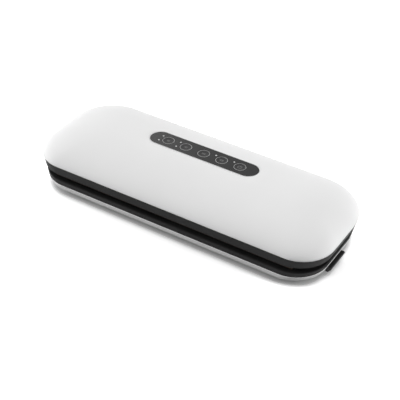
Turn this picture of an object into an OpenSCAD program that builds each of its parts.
// Countertop vacuum sealer for kitchen bags.
// A shallow base carries the vacuum trough, the sealing bar and a raised housing
// with the pump and the power board. A domed lid with the key panel closes over it.
// The origin is on the table, under the middle of the lid.
// +X runs along the length to the user's right, +Y to the hinge, +Z up.

/* [Lid] */
// Length of the lid at its lower edge
lid_l = 365; // [355:1:380]
// Depth of the lid at its lower edge
lid_w = 136; // [134:1:144]
// Corner radius of the lid at the front
lid_rf = 38; // [32:1:44]
// Corner radius of the lid at the hinge side
lid_rr = 52; // [46:1:58]
// Height of the crown over the lid's lower edge
crown_h = 26.5; // [25.5:0.5:32]
// Width of the level strip along the top of the crown
crown_flat = 8; // [4:1:16]
// Exponent of the crown's profile, 2 is an ellipse
crown_p = 1.9; // [1.8:0.05:2.3]
// Wall of the lid cover
cover_wall = 2.4; // [2:0.1:2.8]
// Height of the dark lid frame below the cover
lid_band_h = 10.8; // [10:0.2:13]
// Wall of the lid frame
frame_wall = 2.2; // [1.8:0.1:2.4]
// Step from the cover's lower edge in to the frame
cover_lip = 0.4; // [0.2:0.1:0.8]

/* [Base] */
// Height of the dark rim of the base
base_band_h = 6.8; // [6.4:0.2:8]
// Height of the bottom shell above its underside
shell_h = 10.5; // [10:0.25:12]
// Wall of the bottom shell
shell_wall = 2.2; // [1.8:0.1:2.6]
// Thickness of the deck
deck_t = 2.2; // [2:0.1:2.6]
// Lean of the end walls in towards the table
end_lean = 14; // [10:1:16]
// How far the bottom shell curves in under the body
under_curve = 10; // [7:1:11]
// Height of the slot for the bag between the base and the lid
bag_gap = 6.9; // [6.5:0.1:7.5]
// Height of the table under the bottom shell
ground_gap = 2.5; // [2:0.25:3.5]
// Diameter of a rubber foot
foot_d = 13; // [11:0.5:15]
// Depth that a foot is let into the shell
foot_seat = 1; // [0.8:0.1:1.2]

/* [Housing] */
// Distance from the lid's end to the raised housing at the back of the base
house_end = 32.5; // [31:0.5:37]
// Distance from the lid's back edge to the housing's back wall
house_back = 14; // [13:0.5:15]
// Depth of the housing from its front wall to its back wall
house_w = 39; // [38:0.5:40]
// Height of the raised housing over the deck
house_h = 21; // [20:0.5:22]
// Radius of the housing's back corners
house_rr = 30; // [24:1:30]
// Radius of the housing's front corners
house_rf = 6; // [4:0.5:6]
// Play between the housing and the lid's hollow
house_play = 2.5; // [2.2:0.1:2.8]

/* [Hinge] */
// Distance of the hinge line from the lid's back edge
hinge_back = 4; // [3:0.5:5]
// Height of the hinge line over the deck
hinge_up = 5.7; // [5.4:0.1:6]
// Distance from the lid's end to the middle of a hinge
hinge_end = 68.5; // [66.5:1:76.5]
// Outer radius of the hinge eyes
hinge_r = 3.9; // [3.4:0.1:4]
// Diameter of a hinge pin
pin_d = 3; // [2.5:0.1:3.4]
// Width of the lid's hinge knuckle
knuckle_w = 12; // [10:0.5:14]
// Width of one hinge ear of the base
ear_w = 4; // [3:0.5:5]
// Play beside the knuckle
side_play = 0.3; // [0.2:0.05:0.4]
// Radial play of the knuckle on its pin
pin_play = 0.05; // [0.03:0.01:0.08]
// Radial play of the pin in the ears
ear_play = 0.02; // [0.01:0.01:0.03]

/* [Sealing] */
// Distance from the lid's end to the sealing bar
bar_end = 31.5; // [30.5:0.5:34.5]
// Width of the sealing bar
bar_w = 7; // [6:0.5:8]
// Distance from the lid's front edge to the middle of the bar
bar_front = 11.5; // [10.5:0.25:12]
// Height of the bar under its top face
bar_h = 6; // [5:0.5:7]
// Height of the bar's top over the deck
bar_up = 0.3; // [0.2:0.05:0.6]
// Width of the heating strip
strip_w = 2.5; // [2:0.5:4]
// Thickness of the heating strip and of the tape over it
strip_t = 0.2; // [0.15:0.05:0.3]
// Width of the rubber pressure strip in the lid
press_w = 9; // [8:0.5:10]
// Depth that the pressure strip and the gaskets sit in their grooves
groove_d = 1.5; // [1.2:0.1:1.8]
// Play of the bar and the rubber parts in their seats
seat_play = 0.1; // [0.05:0.05:0.2]
// Gap that a bag leaves between facing seals
seal_gap = 0.4; // [0.3:0.05:0.6]

/* [Vacuum chamber] */
// Distance from the lid's end to the trough
trough_end = 44.5; // [43.5:0.5:51.5]
// Distance from the sealing bar to the trough
trough_front = 13; // [12.5:0.25:14]
// Distance from the trough to the housing
trough_back = 25; // [24:0.5:27]
// Depth of the trough under the deck's top
trough_d = 12.3; // [11:0.1:12.5]
// Corner radius of the trough
trough_r = 9; // [6:0.5:12]
// Wall of the trough
trough_wall = 2; // [1.6:0.1:2.2]
// Width of a gasket
gasket_w = 6; // [5:0.5:6.5]
// Distance from the trough to the gasket
gasket_gap = 2.5; // [2:0.25:2.75]
// Distance from the lid's left end to the suction port
port_end = 72.5; // [66.5:1:82.5]
// Inner diameter of the suction port
port_d = 3; // [2.5:0.1:3.4]
// Outer diameter of the suction tube
tube_d = 8; // [7:0.25:8]

/* [Key panel] */
// Length of the dark overlay
panel_l = 136.4; // [132:0.2:138]
// Width of the dark overlay
panel_w = 25; // [24:0.2:26]
// Width of the thin bezel round it
bezel_w = 0.9; // [0.7:0.1:1.2]
// Height of the bezel over the overlay
bezel_up = 0.3; // [0.2:0.05:0.5]
// Distance of the panel behind the middle
panel_y = 11.2; // [10:0.2:12]
// Tilt of the panel back towards the hinge
panel_tilt = 3.2; // [2.8:0.1:3.4]
// Depth of the panel's middle below the top of the crown
panel_sink = 0.75; // [0.6:0.05:0.9]
// Thickness of the overlay
overlay_t = 1.2; // [1:0.1:1.4]
// Floor of the panel's seat in the cover
seat_t = 1.6; // [1.4:0.1:2]
// Distance from the overlay's end to the middle of the first key
key_end = 22.2; // [20.2:0.2:24.2]
// Diameter of a key
key_d = 14.2; // [13:0.2:15]
// Play round a key
key_play = 0.15; // [0.1:0.05:0.3]
// Travel of a key
key_travel = 0.5; // [0.3:0.05:0.6]
// Diameter of an indicator light
light_d = 2; // [1.6:0.1:2.4]
// Distance of a light to the left of its key's middle
light_dx = 9.8; // [9.4:0.1:10]
// Distance of a light from the panel's middle line
light_dy = 4.8; // [4.4:0.1:5.2]
// Height of a key switch's housing
switch_h = 2.9; // [2.6:0.1:3.2]

/* [Latch] */
// Length of a release button along the end wall
button_l = 32; // [28:0.5:36]
// Distance of the button's middle in front of the middle
button_y = 14.5; // [13:0.5:18]
// Reach of a button past the end wall
button_out = 5; // [4:0.25:5.5]
// Height of a button
button_h = 6.2; // [5.4:0.2:7]
// Travel of a button
button_travel = 3; // [2.5:0.1:3.2]
// Distance from the lid's end to a latch hook
hook_end = 19; // [18:0.25:20]
// Width of a latch hook
hook_w = 12; // [10:0.5:14]
// Thickness of a latch hook
hook_t = 2.4; // [2:0.1:2.8]
// Reach of the hook's barb
barb = 2; // [1.6:0.1:2.2]
// Thickness of the button's slide
slide_t = 2; // [1.8:0.1:2.4]

/* [Electrics] */
// Outer diameter of the pump motor
motor_d = 24.4; // [22:0.2:25]
// Length of the pump motor
motor_l = 31; // [28:0.5:36]
// Length of the power board
board_l = 108; // [96:1:112]
// Thickness of a circuit board
pcb_t = 1.6; // [1.2:0.1:1.6]
// Distance from the lid's right end to the power inlet
inlet_end = 102.5; // [98.5:1:108.5]
// Width of the inlet's socket
socket_w = 16; // [15.6:0.1:16.6]
// Height of the inlet's socket
socket_h = 8.4; // [8:0.1:8.6]
// Depth of the inlet's socket
socket_d = 13; // [12:0.5:14]

/* [Hidden] */
$fn = 64;
eps = 0.02;      // overlap that makes a cut run clean
big = 400;       // longer than the part
corner_n = 12;   // steps round one corner of a lofted outline
crown_n = 11;    // steps up the crown

// Levels, counted up from the table
z_shell = ground_gap;
z_floor = z_shell + shell_wall;
z_rim = z_shell + shell_h;
z_deck = z_rim + base_band_h;
z_under = z_deck - deck_t;
z_lid = z_deck + bag_gap;
z_plate = z_lid + frame_wall;
z_cover = z_lid + lid_band_h;
z_top = z_cover + crown_h;
z_house = z_deck + house_h;
z_hinge = z_deck + hinge_up;
crown_run = (lid_w - crown_flat) / 2;

// Lengths and places, counted in from the edges of the lid
house_l = lid_l - 2 * house_end;
house_y1 = lid_w / 2 - house_back;
house_y0 = house_y1 - house_w;
hinge_x = lid_l / 2 - hinge_end;
hinge_y = lid_w / 2 - hinge_back;
bar_l = lid_l - 2 * bar_end;
bar_y = lid_w / 2 - bar_front;
trough_l = lid_l - 2 * trough_end;
trough_y0 = trough_front + bar_w / 2 - bar_y;
trough_y1 = house_y0 - trough_back;
trough_corner = min(trough_r, (trough_y1 - trough_y0) / 2 - trough_wall / 2);
port_x = lid_l / 2 - port_end;
hook_x = lid_l / 2 - hook_end;
inlet_x = lid_l / 2 - inlet_end;

// ---------- outlines and lofts ----------

// Points on an arc, from angle a0 to a1
function arc(x, y, r, a0, a1) =
    [for (i = [0:corner_n]) let (a = a0 + (a1 - a0) * i / corner_n) [x + r * cos(a), y + r * sin(a)]];

// Rounded outline with half length hl, half width hw and its own radii front and back
function outline(hl, hw, rf, rr) = concat(
    arc(hl - rr, hw - rr, rr, 0, 90), arc(rr - hl, hw - rr, rr, 90, 180),
    arc(rf - hl, rf - hw, rf, 180, 270), arc(hl - rf, rf - hw, rf, 270, 360));

// Half length of the body at height z: the end walls lean in below the cover
function half_l(z) = lid_l / 2 - tan(end_lean) * (z_cover - z);

// One loft section of the body's side wall at height z, moved in by inset
function body_section(z, inset) =
    [half_l(z) - inset, lid_w / 2 - inset, lid_rf - inset, lid_rr - inset, z];

// One section of the crown, a from 0 degrees at its edge to 90 at the top, inside a wall.
// The corner radii grow with the climb until the section is a stadium.
function crown_section(a, wall) =
    let (in = crown_run * (1 - pow(cos(a), 2 / crown_p)),
        hl = lid_l / 2 - wall - in,
        hw = lid_w / 2 - wall - in,
        full = in / crown_run,
        rf = hw * (full + (1 - full) * (lid_rf - wall) / (lid_w / 2 - wall)),
        rr = hw * (full + (1 - full) * (lid_rr - wall) / (lid_w / 2 - wall)))
    [hl, hw, rf, rr, z_cover + (crown_h - wall) * pow(sin(a), 2 / crown_p)];

// Solid through a list of sections, each [half length, half width, front r, back r, z]
module loft(sections) {
    rings = [for (s = sections) [for (p = outline(s[0], s[1], s[2], s[3])) [p.x, p.y, s[4]]]];
    n = len(rings[0]);
    m = len(rings);
    sides = [for (i = [0:m - 2], j = [0:n - 1]) let (k = (j + 1) % n)
        [i * n + j, (i + 1) * n + j, (i + 1) * n + k, i * n + k]];
    polyhedron([for (r = rings) each r],
        concat([[for (j = [0:n - 1]) j]], [[for (j = [n - 1:-1:0]) (m - 1) * n + j]], sides));
}

// What a round corner of radius r leaves off the corner at x, y. The centre lies sx, sy from it.
module corner_cut(x, y, sx, sy, r) {
    translate([x, y]) facing(sx, sy) difference() {
        translate([-1, -1]) square(r + 1);
        translate([r, r]) circle(r);
    }
}

module facing(sx, sy) {
    mirror([sx < 0 ? 1 : 0, 0]) mirror([0, sy < 0 ? 1 : 0]) children();
}

// Rectangle with the radii rf at the front and rr at the back
module plate2d(x0, x1, y0, y1, rf, rr) {
    difference() {
        translate([x0, y0]) square([x1 - x0, y1 - y0]);
        corner_cut(x0, y0, 1, 1, rf);
        corner_cut(x1, y0, -1, 1, rf);
        corner_cut(x0, y1, 1, -1, rr);
        corner_cut(x1, y1, -1, -1, rr);
    }
}

module plate(z0, z1, hl, y0, y1, rf, rr) {
    translate([0, 0, z0]) linear_extrude(z1 - z0) plate2d(-hl, hl, y0, y1, rf, rr);
}

// Block from corner to corner
module block(a, b) {
    translate(a) cube(b - a);
}

// Stadium of length l and width w
module stadium2d(l, w) {
    for (s = [-1, 1]) translate([s * (l - w) / 2, 0]) circle(d = w);
    square([l - w, w], center = true);
}

module stadium(z0, z1, l, w) {
    translate([0, 0, z0]) linear_extrude(z1 - z0) stadium2d(l, w);
}

module post(x, y, z0, z1, d) {
    translate([x, y, z0]) cylinder(d = d, h = z1 - z0);
}

// Cylinder along +Y
module rod_y(x, y0, y1, z, d) {
    translate([x, y0, z]) rotate([-90, 0, 0]) cylinder(d = d, h = y1 - y0);
}

// Cylinder along +X
module rod_x(x0, x1, y, z, d) {
    translate([x0, y, z]) rotate([0, 90, 0]) cylinder(d = d, h = x1 - x0);
}

// A part and its mirror image across the middle
module both_ends() {
    for (s = [0, 1]) mirror([s, 0, 0]) children();
}

// ---------- fasteners and small steps ----------

screw_d = 3;          // shaft of a case screw
screw_head_d = 5.6;
screw_head_t = 2;
screw_play = 0.2;     // radial play of a screw in its clearance hole
boss_d = 7;           // post that a case screw bites into
boss_bite = 8;        // depth of thread in a post
small_screw_d = 2;    // screw of a circuit board
small_head_d = 3.8;
small_head_t = 1.4;
edge_round = 0.8;     // small rounding of the dark rims
part_gap = 0.3;       // gap between pieces that move past each other

// ---------- lid cover and frame ----------

pad_h = 2;            // raised pad of the frame under a cover post
pad_d = 10;
rib_h = 2;            // rib that centres the cover on the frame
rib_t = 1.6;
rib_play = 0.9;
post_sink = 0.8;      // how far a post sinks into the cover's wall
front_in = [20.5, 28];  // a front cover screw, from the lid's end and front edge
back_in = [15.5, 48];   // a back cover screw, from the lid's end and back edge
mid_in = [92.5, 11];    // a middle cover screw, from the lid's end and the housing
lid_spots = [for (s = [-1, 1]) each [
    [s * (lid_l / 2 - front_in.x), front_in.y - lid_w / 2],
    [s * (lid_l / 2 - back_in.x), lid_w / 2 - back_in.y],
    [s * (lid_l / 2 - mid_in.x), house_y0 - mid_in.y]]];

seat_floor = -overlay_t - seat_t;
board_drop = 6.5;     // from the seat's underside to the control board
board_top = seat_floor - board_drop;
control_in = [4.2, 2];  // from the overlay's edges in to the control board
control_l = panel_l - 2 * control_in.x;
control_w = panel_w - 2 * control_in.y;
control_bolt = [4, 3.1];  // from the control board's edges in to its screws
control_spots = [for (x = [-1, 1], y = [-1, 1])
    [x * (control_l / 2 - control_bolt.x), y * (control_w / 2 - control_bolt.y)]];
control_boss_d = 5;
bezel_l = panel_l + 2 * bezel_w;
bezel_depth = panel_w + 2 * bezel_w;
seat_margin = 2;      // seat wall outside the bezel
key_flange = 1.1;     // step of a key under the overlay
flange_d = key_d + 2 * key_flange;
flange_t = 0.8;
key_pitch = (panel_l - 2 * key_end) / 4;
key_x = [for (i = [-2:2]) i * key_pitch];
lights = [for (k = [0, 1], s = [-1, 1]) [key_x[k] - light_dx, s * light_dy],
    for (k = [3, 4]) [key_x[k] - light_dx, light_dy]];

// Solid inside the crown at a given wall, with an upright foot of that depth under its edge
module crown_solid(wall, foot) {
    first = crown_section(0, wall);
    sole = foot > 0 ? [[first[0], first[1], first[2], first[3], z_cover - foot]] : [];
    loft(concat(sole, [for (i = [0:crown_n]) crown_section(90 * i / crown_n, wall)]));
}

// Moves its children from the panel's own frame to the crown: z = 0 is the overlay's face
module on_panel() {
    translate([0, panel_y, z_top - panel_sink]) rotate([-panel_tilt, 0, 0]) children();
}

// White domed cover: a lofted shell with the panel's seat and the screw posts
module lid_cover() {
    color("white") difference() {
        union() {
            difference() {
                crown_solid(0, 0);
                crown_solid(cover_wall, 1);
            }
            on_panel() stadium(seat_floor, -overlay_t, bezel_l + 2 * seat_margin,
                bezel_depth + 2 * seat_margin);
            on_panel() for (p = control_spots) post(p.x, p.y, board_top, seat_floor + eps, control_boss_d);
            intersection() {
                union() for (p = lid_spots) post(p.x, p.y, z_plate + pad_h, z_top, boss_d);
                crown_solid(cover_wall - post_sink, z_cover - z_plate);
            }
        }
        on_panel() {
            stadium(-overlay_t, big, bezel_l + 2 * seat_play, bezel_depth + 2 * seat_play);
            for (x = key_x) post(x, 0, seat_floor - 1, eps, flange_d + 2 * part_gap);
            for (p = lights) post(p.x, p.y, seat_floor - 1, eps, light_d + 2 * part_gap);
            for (p = control_spots) post(p.x, p.y, board_top - 1, seat_floor, small_screw_d);
        }
        for (p = lid_spots) post(p.x, p.y, z_plate, z_plate + pad_h + boss_bite, screw_d);
    }
}

hollow_side = 4;      // play of the hollow at the housing's ends
hollow_front = 3.5;   // play in front, where the housing's edge swings past
liner_t = 2;          // wall of the hollow
hollow_hl = house_l / 2 + hollow_side;
hollow_y0 = house_y0 - hollow_front;
hollow_y1 = house_y1 + house_play;
z_roof = z_house + house_play;
hook_swing = 1.5;     // play in front of a hook in the deck
ear_reach = knuckle_w / 2 + side_play + ear_w;
notch_top = z_hinge + hinge_r + part_gap;
notch_y0 = hinge_y - hinge_r - part_gap;

// Ring of the width of a gasket round the trough, grown by the play of its groove
module gasket_ring(z0, z1, grow) {
    hl = trough_l / 2 + gasket_gap;
    y0 = trough_y0 - gasket_gap;
    y1 = trough_y1 + gasket_gap;
    r = trough_corner + gasket_gap;
    difference() {
        plate(z0, z1, hl + gasket_w + grow, y0 - gasket_w - grow, y1 + gasket_w + grow,
            r + gasket_w + grow, r + gasket_w + grow);
        plate(z0 - 1, z1 + 1, hl - grow, y0 + grow, y1 - grow, r - grow, r - grow);
    }
}

// Slot for a latch hook through the deck, with room in front where the hook swings out
module hook_slot(z0, z1) {
    both_ends() block([hook_x - hook_t / 2 - barb - part_gap, -button_y - hook_w / 2 - hook_swing, z0],
        [hook_x + hook_t / 2 + part_gap, -button_y + hook_w / 2 + part_gap, z1]);
}

// Plate with the outline of the lid's lower edge, moved in by inset
module rim_plate(z0, z1, inset) {
    plate(z0, z1, lid_l / 2 - inset, inset - lid_w / 2, lid_w / 2 - inset, lid_rf - inset, lid_rr - inset);
}

// Dark frame under the cover: rim, ceiling of the vacuum chamber and the hollow over the housing
module lid_frame() {
    in_l = half_l(z_lid) - cover_lip - frame_wall;
    in_w = lid_w / 2 - cover_lip - frame_wall;
    rf = lid_rf - cover_lip - frame_wall;
    rr = lid_rr - cover_lip - frame_wall;
    lip = cover_wall + rib_play;
    color("dimgray") difference() {
        union() {
            difference() {
                loft([body_section(z_lid, cover_lip + edge_round),
                    body_section(z_lid + edge_round, cover_lip), body_section(z_cover, cover_lip)]);
                plate(z_plate, z_cover + 1, in_l, -in_w, in_w, rf, rr);
            }
            difference() {
                union() {
                    rim_plate(z_cover - rib_h, z_cover, cover_lip + frame_wall / 2);
                    rim_plate(z_cover - eps, z_cover + rib_h, lip);
                }
                rim_plate(z_cover - rib_h - 1, z_cover + rib_h + 1, lip + rib_t);
            }
            plate(z_plate - eps, z_roof + liner_t, hollow_hl + liner_t, hollow_y0 - liner_t,
                hollow_y1 + liner_t, house_rf + liner_t, house_rr + liner_t);
            for (p = lid_spots) post(p.x, p.y, z_plate - eps, z_plate + pad_h, pad_d);
            both_ends() block([hinge_x - ear_reach - part_gap - liner_t, hollow_y1 + eps, z_plate - eps],
                [hinge_x + ear_reach + part_gap + liner_t, in_w + eps, notch_top + liner_t]);
        }
        plate(z_lid - 1, z_roof, hollow_hl, hollow_y0, hollow_y1, house_rf, house_rr);
        gasket_ring(z_lid - 1, z_lid + groove_d, seat_play);
        block([-bar_l / 2 - seat_play, -bar_y - press_w / 2 - seat_play, z_lid - 1],
            [bar_l / 2 + seat_play, -bar_y + press_w / 2 + seat_play, z_lid + groove_d]);
        both_ends() block([hinge_x - ear_reach - part_gap, notch_y0, z_lid - 1],
            [hinge_x + ear_reach + part_gap, big, notch_top]);
        for (p = lid_spots) {
            post(p.x, p.y, z_lid - 1, z_plate, screw_head_d + 2 * screw_play);
            post(p.x, p.y, z_lid, z_plate + pad_h + 1, screw_d + 2 * screw_play);
        }
        both_ends() block([hook_x - hook_t / 2 - seat_play, -button_y - hook_w / 2 - seat_play, z_lid - 1],
            [hook_x + hook_t / 2 + seat_play, -button_y + hook_w / 2 + seat_play, z_plate + 1]);
    }
    color("dimgray") both_ends() difference() {
        union() {
            rod_x(hinge_x - knuckle_w / 2, hinge_x + knuckle_w / 2, hinge_y, z_hinge, 2 * hinge_r);
            block([hinge_x - knuckle_w / 2, hinge_y - hinge_r, z_hinge],
                [hinge_x + knuckle_w / 2, lid_w / 2 - cover_lip, notch_top + eps]);
        }
        rod_x(hinge_x - knuckle_w, hinge_x + knuckle_w, hinge_y, z_hinge, pin_d + 2 * pin_play);
    }
}

module case_screw(x, y, z_seat, len) {
    post(x, y, z_seat - screw_head_t, z_seat, screw_head_d);
    post(x, y, z_seat - eps, z_seat + len, screw_d);
}

module lid_screws() {
    color("silver") for (p = lid_spots) case_screw(p.x, p.y, z_plate, pad_h + boss_bite - 1);
}

upper_seal_h = (bag_gap - seal_gap) / 2;  // how far each gasket stands out of its groove

module upper_gasket() {
    color("dimgray") gasket_ring(z_lid - upper_seal_h, z_lid + groove_d, 0);
}

module pressure_strip() {
    tape_top = z_deck + bar_up + 2 * strip_t;
    color("lightgray") block([-bar_l / 2, -bar_y - press_w / 2, tape_top + seal_gap],
        [bar_l / 2, -bar_y + press_w / 2, z_lid + groove_d]);
}

slide_z0 = z_rim - part_gap - button_h / 2 - slide_t / 2;
slide_z1 = slide_z0 + slide_t;
hook_foot = 4;        // flange of a hook on top of the frame
hook_foot_t = 2;
barb_slope = 0.6;     // rise of the barb's upper face

// Hook at the right end: a flange on the frame, a shaft and a barb that points inward
module latch_hook() {
    z0 = slide_z1 + part_gap;
    x0 = hook_x - hook_t / 2;
    x1 = hook_x + hook_t / 2;
    color("dimgray") translate([0, -button_y - hook_w / 2, 0]) {
        block([x0 - hook_foot, 0, z_plate], [x1 + hook_foot, hook_w, z_plate + hook_foot_t]);
        translate([0, hook_w, 0]) rotate([90, 0, 0]) linear_extrude(hook_w) polygon([
            [x1, z0 + hook_t], [x1, z_plate + eps], [x0, z_plate + eps], [x0, z0 + barb + barb_slope],
            [x0 - barb, z0 + barb], [x0, z0], [hook_x + hook_t / 4, z0]]);
    }
}

module latch_hook_right() { latch_hook(); }
module latch_hook_left() { mirror([1, 0, 0]) latch_hook(); }

// ---------- key panel ----------

module panel_bezel() {
    color("silver") on_panel() difference() {
        stadium(-overlay_t, bezel_up, bezel_l, bezel_depth);
        stadium(-overlay_t - 1, bezel_up + 1, panel_l + 2 * seat_play, panel_w + 2 * seat_play);
    }
}

module panel_overlay() {
    color("#303234") on_panel() difference() {
        stadium(-overlay_t, 0, panel_l, panel_w);
        for (x = key_x) post(x, 0, -overlay_t - 1, 1, key_d + 2 * key_play);
        for (p = lights) post(p.x, p.y, -overlay_t - 1, 1, light_d + 2 * seat_play);
    }
}

plunger_d = 4;
stem_d = 3.4;
stem_h = 0.6;
key_gap = 0.1;        // what is left under a key at the end of its travel

module key(i) {
    z_stem = board_top + switch_h + stem_h;
    color("#303234") on_panel() translate([key_x[i], 0, 0]) {
        post(0, 0, -overlay_t - eps, 0, key_d);
        post(0, 0, -overlay_t - flange_t, -overlay_t, flange_d);
        post(0, 0, z_stem + key_travel + key_gap, -overlay_t - flange_t + eps, plunger_d);
    }
}
module key_1() { key(0); }
module key_2() { key(1); }
module key_3() { key(2); }
module key_4() { key(3); }
module key_5() { key(4); }

switch_w = 6;

module key_switches() {
    color("black") on_panel() for (x = key_x) translate([x, 0, 0]) {
        block([-switch_w / 2, -switch_w / 2, board_top],
            [switch_w / 2, switch_w / 2, board_top + switch_h]);
        post(0, 0, board_top + switch_h - eps, board_top + switch_h + stem_h, stem_d);
    }
}

module indicator_lights() {
    color("lightyellow") on_panel() for (p = lights) post(p.x, p.y, board_top, 0, light_d);
}

module control_board() {
    color("darkgreen") on_panel() difference() {
        stadium(board_top - pcb_t, board_top, control_l, control_w);
        for (p = control_spots)
            post(p.x, p.y, board_top - pcb_t - 1, board_top + 1, small_screw_d + screw_play);
    }
}

module board_screws() {
    color("silver") on_panel() for (p = control_spots) {
        post(p.x, p.y, board_top - pcb_t - small_head_t, board_top - pcb_t, small_head_d);
        post(p.x, p.y, board_top - pcb_t - eps, board_top + board_drop - 1, small_screw_d);
    }
}

// ---------- base ----------

rim_straight = 2;     // upright stretch of the shell under its rim
curve_n = 6;          // steps round the shell's lower curve
shell_post_d = 9;
z_meet = z_rim - 2;   // where the shell's posts meet the frame's
screw_sink = 4;       // height of a base screw's seat over the shell's underside
screw_short = 0.5;    // what a base screw leaves of its hole
base_front = [22.5, 30];  // a front base screw, from the body's end and front edge
base_back = [22.5, 38];   // a back base screw, from the body's end and back edge
base_mid = [122.5, 9];    // a middle base screw, from the body's end and the housing
rear_in = 8.8;            // the rear base screw, from the body's back edge
base_spots = concat([for (s = [-1, 1]) each [
    [s * (lid_l / 2 - base_front.x), base_front.y - lid_w / 2],
    [s * (lid_l / 2 - base_back.x), lid_w / 2 - base_back.y],
    [s * (lid_l / 2 - base_mid.x), house_y0 - base_mid.y]]], [[0, lid_w / 2 - rear_in]]);
foot_in = [50.5, 23];     // a foot, from the body's end and its front or back edge
foot_spots = [for (x = [-1, 1], y = [-1, 1]) [x * (lid_l / 2 - foot_in.x), y * (lid_w / 2 - foot_in.y)]];
ear_back = 2.5;       // reach of an ear's web behind the hinge line

slide_l = 15;         // length of the button's slide inside the shell
slide_w = 24;
stop_w = 2;           // how far the slide's wings reach past the button's ends
wing_t = 2;
stop_back = 2.9;      // from the wall's inner face at the rim back to the wings' stop
finger_x0 = half_l(z_rim) - cover_lip - shell_wall - stop_back;
finger_z1 = z_rim - part_gap;
finger_z0 = finger_z1 - button_h;
finger_edge = 0.7;    // bevel on a button's upper edge
finger_face = 1.1;    // upright face under the bevel
finger_lip = 1.6;     // level lower lip in front of the wall
rail_play = 0.2;      // play of the slide over its rails and under its guides
rail_t = 2;           // thickness of the rails and ribs
spring_d = 4.6;
spring_wire = 0.6;
spring_l = 10;
spring_turns = 6;
spring_gap = 0.05;
spring_rib_w = 10;
slide_x0 = finger_x0 - slide_l;
z_slide = (slide_z0 + slide_z1) / 2;

board_lift = 4.3;     // power board over the shell's floor
board_z = z_floor + board_lift;
board_post_d = 6;
power_x = inlet_x - 62;   // left end of the power board
power_y = house_y0 + 3.5; // front edge of the power board

inlet_wall = 1.2;
inlet_back = 2;       // wall behind the socket
inlet_gap = 0.2;      // gap under the deck
inlet_hw = socket_w / 2 + inlet_wall;
inlet_z1 = z_under - inlet_gap;
inlet_z0 = inlet_z1 - socket_h - 2 * inlet_wall;
inlet_y1 = lid_w / 2 - cover_lip;
inlet_y0 = inlet_y1 - socket_d - inlet_back;
board_gap = 3.1;      // from the power board to the inlet
board_w = inlet_y0 - board_gap - power_y;
spot_in = 4;          // from the board's edges to its screws
power_spots = [for (x = [spot_in, board_l - spot_in], y = [spot_in, board_w - spot_in])
    [power_x + x, power_y + y]];

z_trough = z_deck - trough_d;
bar_z0 = z_deck + bar_up - bar_h;
terminal_d = 2.6;
terminal_in = 4;      // from the bar's end to its terminal
terminal_gap = 2;     // from a terminal to the shell's floor
terminal_x = bar_l / 2 - terminal_in;

nozzle_d = 5.6;       // outside of a suction nozzle
nozzle_l = 7;
port_up = 4;          // port over the trough's floor
port_z = z_trough + port_up;
port_flange_d = 7.6;
port_flange_t = 1.5;

pump_x0 = -60;        // nozzle face of the pump head
pump_y = house_y1 - 18;
pump_lift = 3.6;      // pump head over the shell's floor
head_l = 22;
head_w = 26;
head_h = 25;
pump_z = z_floor + pump_lift + head_h / 2;
bend_r = 12;          // bend of the suction tube
bore_in = 8;          // depth of the bores in the pump head
motor_tail_d = 10;
motor_tail_l = 2;
cradle_x = pump_x0 + head_l + 6;
cradle_l = 18;
cradle_w = 20;
cradle_play = 0.05;

vent_d = 4;           // outside of the vent's nozzles
vent_bore = 2;
vent_wall = 1.2;      // wall of the vent tube
vent_up = 6;          // vent nozzle over the pump's middle
vent_z = pump_z + vent_up;
valve_x = pump_x0 - 25;
valve_y = pump_y + 10;
valve_l = 14;
valve_w = 10;
valve_h = 16;
valve_z = vent_z - valve_h / 2 - 2;
valve_post_d = 8;

// Section of the shell's lower curve, a from 0 degrees at the side to 90 underneath
function under_section(a, wall, z0) =
    body_section(z0 + (z_rim - rim_straight - z0) * (1 - sin(a)),
        cover_lip + wall + (under_curve - wall / 2) * (1 - cos(a)));

module tray(wall, z0, z1) {
    loft(concat([for (i = [0:curve_n]) under_section(90 - 90 * i / curve_n, wall, z0)],
        [body_section(z1, cover_lip + wall)]));
}

// Two rails along X near the slide's edges, clear of the pressed button
module rails(z0, z1) {
    for (s = [-1, 1]) translate([0, s * (slide_w / 2 - rail_t) - button_y, 0])
        block([slide_x0 + rail_t, -rail_t / 2, z0],
            [finger_x0 - wing_t - button_travel - part_gap, rail_t / 2, z1]);
}

// White bottom shell with the posts, rails and ribs that carry the inside
module base_shell() {
    color("white") difference() {
        union() {
            difference() {
                tray(0, z_shell, z_rim);
                tray(shell_wall, z_floor, z_rim + 1);
            }
            for (p = base_spots) post(p.x, p.y, z_floor - eps, z_meet, shell_post_d);
            for (p = power_spots) post(p.x, p.y, z_floor - eps, board_z, board_post_d);
            post(valve_x, valve_y, z_floor - eps, valve_z, valve_post_d);
            both_ends() {
                rails(z_floor - eps, slide_z0 - rail_play);
                block([slide_x0 - spring_l - rail_t, -button_y - spring_rib_w / 2, z_floor - eps],
                    [slide_x0 - spring_l, spring_rib_w / 2 - button_y, z_slide + spring_d / 2]);
            }
        }
        for (p = base_spots) {
            post(p.x, p.y, 0, z_shell + screw_sink, screw_head_d + 2 * screw_play);
            post(p.x, p.y, z_shell, z_meet + 1, screw_d + 2 * screw_play);
        }
        for (p = power_spots) post(p.x, p.y, z_floor, board_z + 1, small_screw_d);
        for (p = foot_spots) post(p.x, p.y, 0, z_shell + foot_seat, foot_d + 2 * seat_play);
        both_ends() block(
            [finger_x0 - button_travel - 1, -button_y - button_l / 2 - part_gap, finger_z0 - part_gap],
            [big, button_l / 2 - button_y + part_gap, z_rim + 1]);
        block([inlet_x - inlet_hw - seat_play, inlet_y0 - 1, inlet_z0 - seat_play],
            [inlet_x + inlet_hw + seat_play, big, z_rim + 1]);
    }
}

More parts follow.
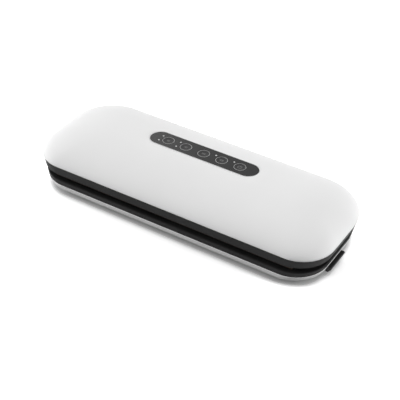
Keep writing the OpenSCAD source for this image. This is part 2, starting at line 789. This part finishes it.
// Dark frame of the base: rim, deck, trough, seat of the sealing bar, housing and hinge ears
module base_frame() {
    in_l = half_l(z_rim) - cover_lip - frame_wall;
    in_w = lid_w / 2 - cover_lip - frame_wall;
    rf = lid_rf - cover_lip - frame_wall;
    rr = lid_rr - cover_lip - frame_wall;
    groove_edge = gasket_gap + gasket_w + trough_wall;
    channel = seat_play + trough_wall;
    color("dimgray") difference() {
        union() {
            difference() {
                loft([body_section(z_rim, cover_lip), body_section(z_deck - edge_round, cover_lip),
                    body_section(z_deck, cover_lip + edge_round)]);
                plate(z_rim - 1, z_under, in_l, -in_w, in_w, rf, rr);
            }
            plate(z_under, z_house, house_l / 2, house_y0, house_y1, house_rf, house_rr);
            plate(z_trough - trough_wall, z_deck - eps, trough_l / 2 + trough_wall, trough_y0 - trough_wall,
                trough_y1 + trough_wall, trough_corner + trough_wall, trough_corner + trough_wall);
            plate(z_under - groove_d, z_deck - eps, trough_l / 2 + groove_edge, trough_y0 - groove_edge,
                trough_y1 + groove_edge, trough_corner + groove_edge, trough_corner + groove_edge);
            block([-bar_l / 2 - channel, -bar_y - bar_w / 2 - channel, bar_z0 - trough_wall],
                [bar_l / 2 + channel, channel - bar_y + bar_w / 2, z_deck - eps]);
            for (p = base_spots) post(p.x, p.y, z_meet, z_deck - eps, boss_d);
            both_ends() rails(slide_z1 + rail_play, z_deck - eps);
        }
        plate(z_under - eps, z_house - frame_wall, house_l / 2 - frame_wall, house_y0 + frame_wall,
            house_y1 - frame_wall, house_rf - frame_wall, house_rr - frame_wall);
        plate(z_trough, z_deck + 1, trough_l / 2, trough_y0, trough_y1, trough_corner, trough_corner);
        gasket_ring(z_deck - groove_d, z_deck + 1, seat_play);
        block([-bar_l / 2 - seat_play, -bar_y - bar_w / 2 - seat_play, bar_z0],
            [bar_l / 2 + seat_play, seat_play - bar_y + bar_w / 2, z_deck + 1]);
        both_ends()
            post(terminal_x, -bar_y, bar_z0 - trough_wall - 1, bar_z0 + 1, terminal_d + 2 * seat_play);
        hook_slot(z_under - 1, z_deck + 1);
        for (p = base_spots) post(p.x, p.y, z_meet - 1, z_under, screw_d);
        rod_y(-port_x, trough_y1 - 1, trough_y1 + trough_wall + 1, port_z, nozzle_d + 2 * seat_play);
        block([inlet_x - inlet_hw - seat_play, inlet_y0 - 1, z_rim - 1],
            [inlet_x + inlet_hw + seat_play, big, inlet_z1 + seat_play]);
    }
    ear_x = (knuckle_w + ear_w) / 2 + side_play;
    color("dimgray") both_ends() for (s = [-1, 1]) translate([hinge_x + s * ear_x, 0, 0])
        difference() {
            union() {
                rod_x(-ear_w / 2, ear_w / 2, hinge_y, z_hinge, 2 * hinge_r);
                block([-ear_w / 2, hinge_y - hinge_r, z_under], [ear_w / 2, hinge_y + ear_back, z_hinge]);
            }
            rod_x(-ear_w, ear_w, hinge_y, z_hinge, pin_d + 2 * ear_play);
        }
}

module hinge_pins() {
    color("silver") both_ends() rod_x(hinge_x - ear_reach, hinge_x + ear_reach, hinge_y, z_hinge, pin_d);
}

module base_screws() {
    color("silver") for (p = base_spots)
        case_screw(p.x, p.y, z_shell + screw_sink, z_under - z_shell - screw_sink - screw_short);
}

module base_feet() {
    color("black") for (p = foot_spots) post(p.x, p.y, 0, z_shell + foot_seat, foot_d);
}

// ---------- sealing bar and vacuum chamber ----------

module heater_bar() {
    color("saddlebrown") block([-bar_l / 2, -bar_y - bar_w / 2, bar_z0],
        [bar_l / 2, bar_w / 2 - bar_y, z_deck + bar_up]);
}

module heating_strip() {
    color("silver") block([-bar_l / 2, -bar_y - strip_w / 2, z_deck + bar_up],
        [bar_l / 2, strip_w / 2 - bar_y, z_deck + bar_up + strip_t]);
}

module heater_tape() {
    color("peru") block([-bar_l / 2, -bar_y - bar_w / 2, z_deck + bar_up + strip_t],
        [bar_l / 2, bar_w / 2 - bar_y, z_deck + bar_up + 2 * strip_t]);
}

module heater_terminals() {
    color("gold") both_ends() post(terminal_x, -bar_y, z_floor + terminal_gap, bar_z0, terminal_d);
}

module lower_gasket() {
    color("dimgray") gasket_ring(z_deck - groove_d, z_deck + upper_seal_h, 0);
}

module suction_port() {
    color("silver") difference() {
        union() {
            rod_y(-port_x, trough_y1 - port_flange_t, trough_y1, port_z, port_flange_d);
            rod_y(-port_x, trough_y1 - eps, trough_y1 + trough_wall + nozzle_l, port_z, nozzle_d);
        }
        rod_y(-port_x, trough_y1 - 5, trough_y1 + 20, port_z, port_d);
    }
}

// Tube along the trough wall's nozzle, round one bend and on to the pump
module tube_path(d) {
    rod_y(-port_x, trough_y1 + trough_wall + part_gap, pump_y - bend_r, port_z, d);
    translate([bend_r - port_x, pump_y - bend_r, port_z]) rotate([0, 0, 90]) rotate_extrude(angle = 90)
        translate([bend_r, 0]) circle(d = d);
    rod_x(bend_r - port_x, pump_x0 - part_gap, pump_y, port_z, d);
}

module suction_tube() {
    color("gainsboro") difference() {
        tube_path(tube_d);
        rod_y(-port_x, trough_y1, pump_y - bend_r + eps, port_z, nozzle_d);
        translate([bend_r - port_x, pump_y - bend_r, port_z]) rotate([0, 0, 90]) rotate_extrude(angle = 90)
            translate([bend_r, 0]) circle(d = nozzle_d);
        rod_x(bend_r - port_x - eps, pump_x0 + 1, pump_y, port_z, nozzle_d);
    }
}

module pump_head() {
    color("gray") difference() {
        union() {
            block([pump_x0, pump_y - head_w / 2, pump_z - head_h / 2],
                [pump_x0 + head_l, pump_y + head_w / 2, pump_z + head_h / 2]);
            rod_x(pump_x0 - nozzle_l, pump_x0 + 1, pump_y, port_z, nozzle_d);
            rod_x(pump_x0 - nozzle_l, pump_x0 + 1, valve_y, vent_z, vent_d);
        }
        rod_x(pump_x0 - 2 * nozzle_l, pump_x0 + bore_in, pump_y, port_z, port_d);
        rod_x(pump_x0 - 2 * nozzle_l, pump_x0 + bore_in, valve_y, vent_z, vent_bore);
    }
}

module pump_motor() {
    color("silver") {
        rod_x(pump_x0 + head_l, pump_x0 + head_l + motor_l, pump_y, pump_z, motor_d);
        rod_x(pump_x0 + head_l + motor_l - eps, pump_x0 + head_l + motor_l + motor_tail_l,
            pump_y, pump_z, motor_tail_d);
    }
}

module pump_cradle() {
    color("black") difference() {
        block([cradle_x, pump_y - cradle_w / 2, z_floor],
            [cradle_x + cradle_l, pump_y + cradle_w / 2, pump_z - motor_d / 4]);
        rod_x(cradle_x - 1, cradle_x + cradle_l + 1, pump_y, pump_z, motor_d + 2 * cradle_play);
    }
}

module vent_valve() {
    color("black") {
        block([valve_x - valve_l / 2, valve_y - valve_w / 2, valve_z],
            [valve_x + valve_l / 2, valve_y + valve_w / 2, valve_z + valve_h]);
        rod_x(valve_x + valve_l / 2 - eps, valve_x + valve_l / 2 + nozzle_l, valve_y, vent_z, vent_d);
    }
}

module vent_tube() {
    color("gainsboro") difference() {
        rod_x(valve_x + valve_l / 2 + part_gap, pump_x0 - part_gap, valve_y, vent_z,
            vent_d + 2 * vent_wall);
        rod_x(valve_x, pump_x0 + 1, valve_y, vent_z, vent_d);
    }
}

// ---------- electrics ----------

module power_board() {
    color("darkgreen") difference() {
        block([power_x, power_y, board_z], [power_x + board_l, power_y + board_w, board_z + pcb_t]);
        for (p = power_spots) post(p.x, p.y, board_z - 1, board_z + pcb_t + 1, small_screw_d + screw_play);
    }
}

// Parts in a row along the board: fuse, transformer, large can, small cans, relay, heat sink
part_w = [5, 24, 13, 8, 19, 3];     // along the board
part_d = [18, 20, 13, 8, 16, 23];   // across the board
part_h = [7, 19, 22, 12, 16, 17];   // height
part_y = [6, 5, 8.5, 4, 6, 4];      // from the board's front edge
part_in = 8;          // from the board's ends to the first and the last part
can_pitch = 14;       // between the two small cans
part_step = (board_l - 2 * part_in - sum(part_w, len(part_w))) / (len(part_w) - 1);
core_t = 3;           // flanges of the transformer
coil_in = [3, 1];      // step from the core's flanges in to the coil

// Sum of the first n values of v
function sum(v, n) = n <= 0 ? 0 : v[n - 1] + sum(v, n - 1);

// Left side of part i: the parts stand in a row along the board, evenly spaced
function part_x(i) = part_in + sum(part_w, i) + i * part_step;

// Moves its children to part i on the board
module on_board(i) {
    translate([power_x + part_x(i), power_y + part_y[i], board_z + pcb_t]) children();
}

// Two flanges with the coil between them
module power_transformer() {
    color("gold") on_board(1) {
        for (z = [0, part_h[1] - core_t]) translate([0, 0, z]) cube([part_w[1], part_d[1], core_t]);
        block([coil_in.x, coil_in.y, core_t - eps],
            [part_w[1] - coil_in.x, part_d[1] - coil_in.y, part_h[1] - core_t + eps]);
    }
}

// Boxes and upright cans on the board
module board_parts() {
    color("black") {
        for (i = [0, 4, 5]) on_board(i) cube([part_w[i], part_d[i], part_h[i]]);
        for (p = [[2, 0], [3, 0], [3, can_pitch]]) on_board(p[0])
            post(part_w[p[0]] / 2, part_w[p[0]] / 2 + p[1], 0, part_h[p[0]], part_w[p[0]]);
    }
}

// Two-pin power inlet at the back
module mains_inlet() {
    z = (inlet_z0 + inlet_z1) / 2;
    color("black") difference() {
        block([inlet_x - inlet_hw, inlet_y0, inlet_z0], [inlet_x + inlet_hw, inlet_y1, inlet_z1]);
        translate([inlet_x, inlet_y1 - socket_d, z]) rotate([-90, 0, 0]) linear_extrude(socket_d + 1)
            stadium2d(socket_w, socket_h);
        for (s = [-1, 1]) rod_y(inlet_x + s * contact_pitch / 2, inlet_y0 - 1, inlet_y1, z, contact_d);
    }
}

contact_pitch = 8.6;  // distance between the two contact pins
contact_d = 2.4;
contact_l = 8;
contact_tail = 4;     // reach of the contacts behind the inlet

module inlet_pins() {
    z = (inlet_z0 + inlet_z1) / 2;
    y1 = inlet_y1 - socket_d + contact_l;
    color("gold") for (s = [-1, 1])
        rod_y(inlet_x + s * contact_pitch / 2, inlet_y0 - contact_tail, y1, z, contact_d);
}

// ---------- release buttons ----------

// Right-hand button: finger piece, wings, and a slide whose window lets the hook through
module release_button() {
    x_out = half_l(z_rim) - cover_lip + button_out;
    x_wall = half_l(z_rim) - cover_lip;
    y0 = -button_y - button_l / 2;
    window_w = hook_w + 2 * part_gap;
    color("#202224") {
        translate([0, y0 + button_l, 0]) rotate([90, 0, 0]) linear_extrude(button_l) polygon([
            [finger_x0 - eps, slide_z0], [finger_x0 - eps, finger_z1], [x_out - finger_edge, finger_z1],
            [x_out, finger_z1 - finger_edge], [x_out, finger_z1 - finger_edge - finger_face],
            [x_wall + finger_lip, finger_z0], [x_wall, finger_z0]]);
        block([finger_x0 - wing_t, y0 - stop_w, slide_z0], [finger_x0, y0 + button_l + stop_w, slide_z1]);
        difference() {
            block([slide_x0, -button_y - slide_w / 2, slide_z0],
                [finger_x0 - eps, slide_w / 2 - button_y, slide_z1]);
            block([hook_x - hook_t / 2 - part_gap, -button_y - window_w / 2, slide_z0 - 1],
                [hook_x + hook_t / 2 + button_travel + part_gap, window_w / 2 - button_y, slide_z1 + 1]);
        }
    }
}

module release_button_right() { release_button(); }
module release_button_left() { mirror([1, 0, 0]) release_button(); }

// Compression spring along X, swept as rings of points round a helix
module button_spring() {
    rise = spring_l - spring_wire - 2 * spring_gap;
    steps = 10;
    sides = 6;
    n = spring_turns * steps;
    r = (spring_d - spring_wire) / 2;
    rings = [for (i = [0:n]) let (a = 360 * i / steps)
        [for (j = [0:sides - 1]) let (b = 360 * j / sides, q = r + spring_wire / 2 * cos(b))
            [slide_x0 - spring_l + spring_wire / 2 + spring_gap + rise * i / n + spring_wire / 2 * sin(b),
                -button_y + q * cos(a), z_slide + q * sin(a)]]];
    wall = [for (i = [0:n - 1], j = [0:sides - 1]) let (k = (j + 1) % sides)
        [i * sides + j, i * sides + k, (i + 1) * sides + k, (i + 1) * sides + j]];
    color("silver") polyhedron([for (g = rings) each g],
        concat([[for (j = [sides - 1:-1:0]) j]], [[for (j = [0:sides - 1]) n * sides + j]], wall));
}

module button_spring_right() { button_spring(); }
module button_spring_left() { mirror([1, 0, 0]) button_spring(); }

// ---------- assembly ----------

lid_cover();
lid_frame();
lid_screws();
upper_gasket();
pressure_strip();
latch_hook_left();
latch_hook_right();
panel_bezel();
panel_overlay();
indicator_lights();
control_board();
key_switches();
board_screws();
key_1();
key_2();
key_3();
key_4();
key_5();
release_button_left();
release_button_right();
button_spring_left();
button_spring_right();
base_shell();
base_frame();
base_screws();
base_feet();
hinge_pins();
heater_bar();
heating_strip();
heater_tape();
heater_terminals();
lower_gasket();
suction_port();
suction_tube();
pump_head();
pump_motor();
pump_cradle();
vent_valve();
vent_tube();
power_board();
power_transformer();
board_parts();
mains_inlet();
inlet_pins();
